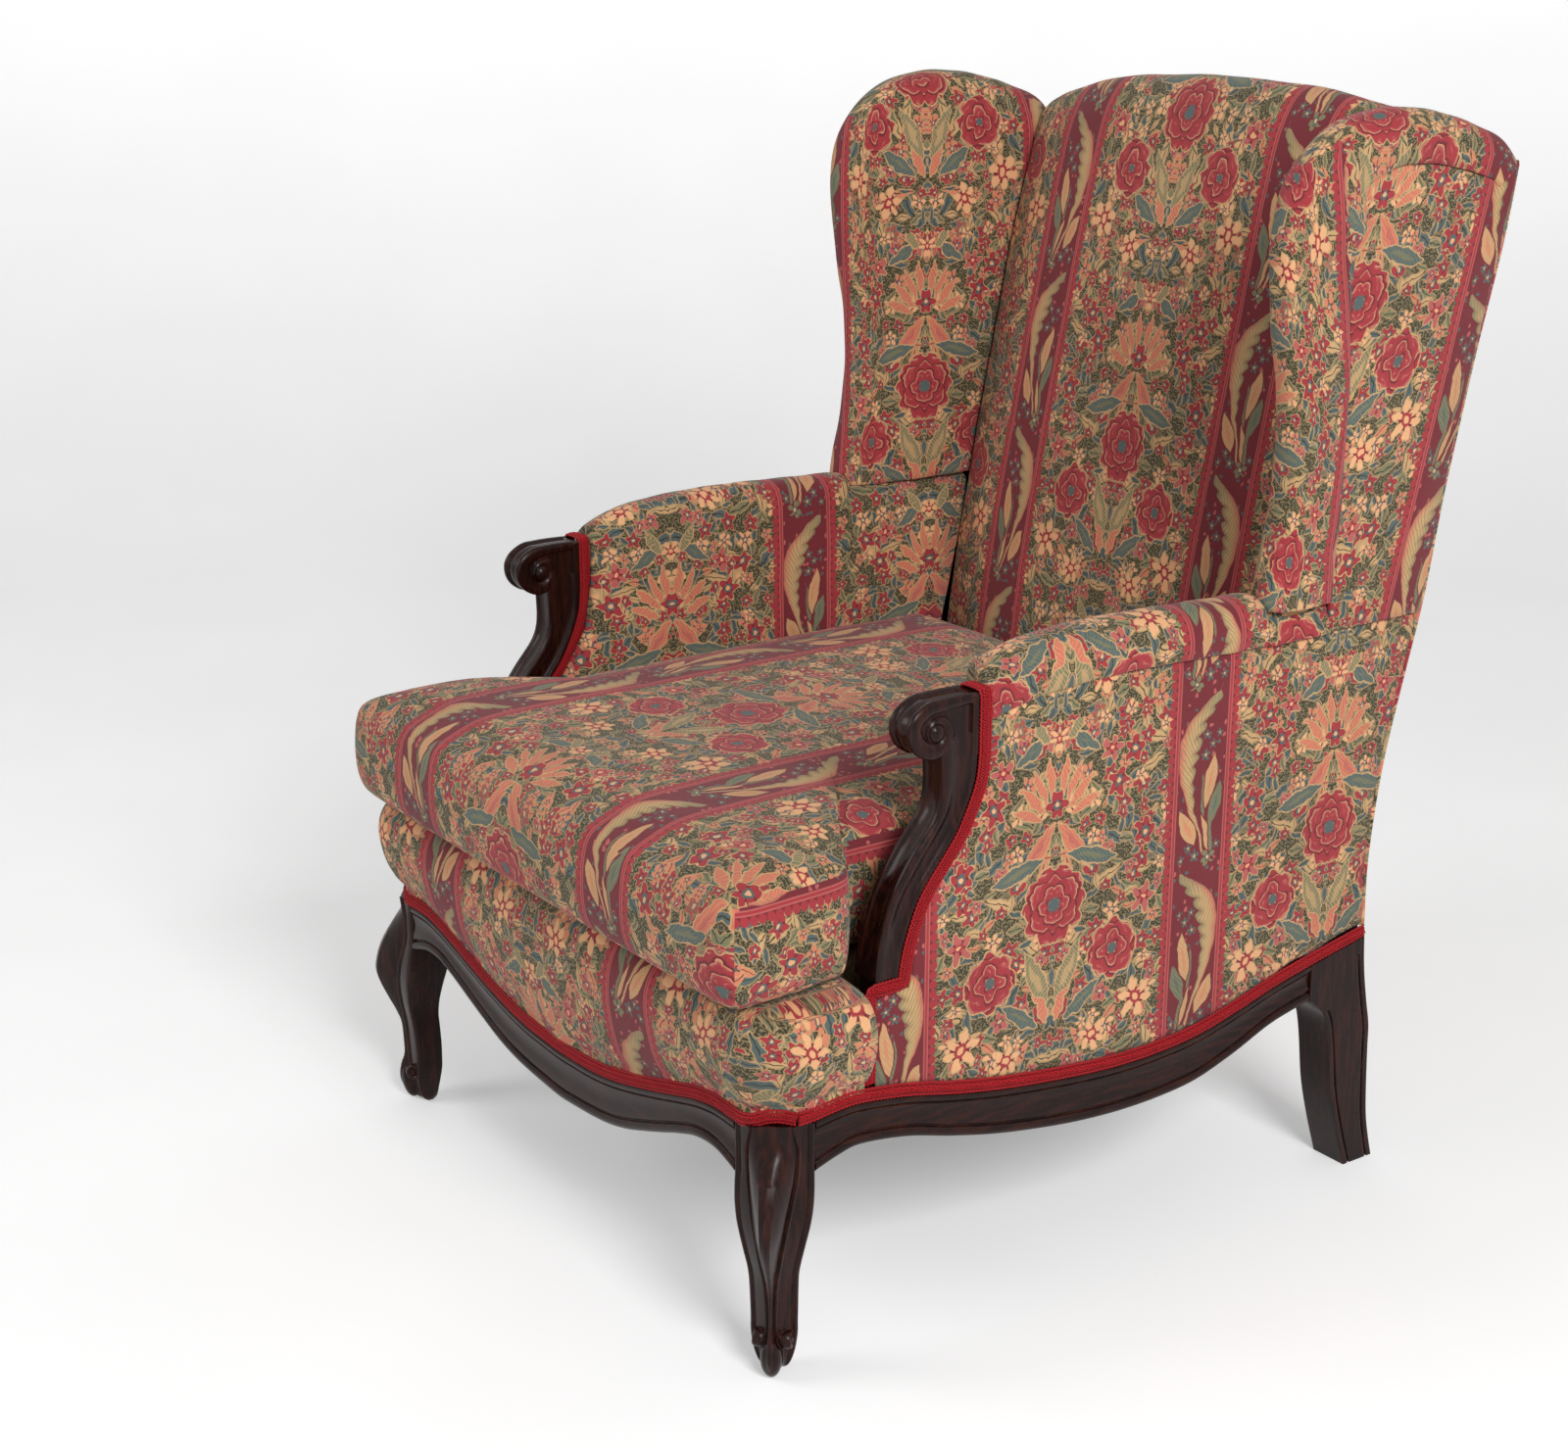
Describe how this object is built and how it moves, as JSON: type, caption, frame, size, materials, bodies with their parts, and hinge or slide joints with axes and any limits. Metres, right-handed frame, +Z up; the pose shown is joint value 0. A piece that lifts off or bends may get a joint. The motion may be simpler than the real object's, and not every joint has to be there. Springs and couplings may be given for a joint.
{
  "type": "bergere armchair",
  "caption": "Winged bergere armchair with scrolled arm supports, cabriole front legs, closed padded arms and back, sprung seat and a loose T-shaped seat cushion that lifts off",
  "frame": {"origin": "centre of the chair's overall box at floor level", "axes": "+X to the sitter's left, +Y to the back of the chair, +Z up; the front faces -Y"},
  "size_m": [0.7328, 0.9, 1.044],
  "materials": {
    "mahogany": "dark polished mahogany, glossy, worn redder on the edges",
    "beech": "plain unfinished beech, hidden in the upholstery",
    "tapestry": "woven floral tapestry with burgundy stripes",
    "gimp": "crimson woven braid",
    "linen": "natural webbing, hessian and stuffed deck pad",
    "black_cambric": "thin black dust cloth",
    "spring_wire": "dull spring steel wire",
    "zinc_screw": "zinc plated steel"
  },
  "bodies": {
    "frame": {"front_rail": "mahogany", "side_rail_left": "mahogany", "side_rail_right": "mahogany", "rear_rail": "mahogany", "front_leg_left": "mahogany", "front_leg_right": "mahogany", "rear_post_left": "mahogany", "rear_post_right": "mahogany", "corner_blocks": "beech", "corner_block_screws": "zinc_screw", "arm_support_left": "mahogany", "arm_support_right": "mahogany", "arm_rail_left": "beech", "arm_rail_right": "beech", "arm_stay_left": "beech", "arm_stay_right": "beech", "wing_stile_left": "beech", "wing_stile_right": "beech", "wing_top_left": "beech", "wing_top_right": "beech", "crest_rail": "beech", "back_stay": "beech", "back_webbing": "linen", "seat_webbing": "linen", "seat_springs": "spring_wire", "spring_hessian": "linen", "seat_platform": "linen", "seat_front_border": "tapestry", "bottom_cloth": "black_cambric", "inside_back": "tapestry", "outside_back": "tapestry", "inside_arm_left": "tapestry", "inside_arm_right": "tapestry", "outside_arm_left": "tapestry", "outside_arm_right": "tapestry", "wing_left": "tapestry", "wing_right": "tapestry", "outside_wing_left": "tapestry", "outside_wing_right": "tapestry", "gimp_front": "gimp", "gimp_side_left": "gimp", "gimp_side_right": "gimp", "gimp_arm_left": "gimp", "gimp_arm_right": "gimp", "gimp_rear": "gimp"},
    "cushion": {"seat_cushion": "tapestry"}
  },
  "joints": [
    {"name": "cushion_lift", "type": "slide", "parent": "frame", "child": "cushion", "axis": [0, 0, 1], "range_m": [0, 0.3]}
  ]
}
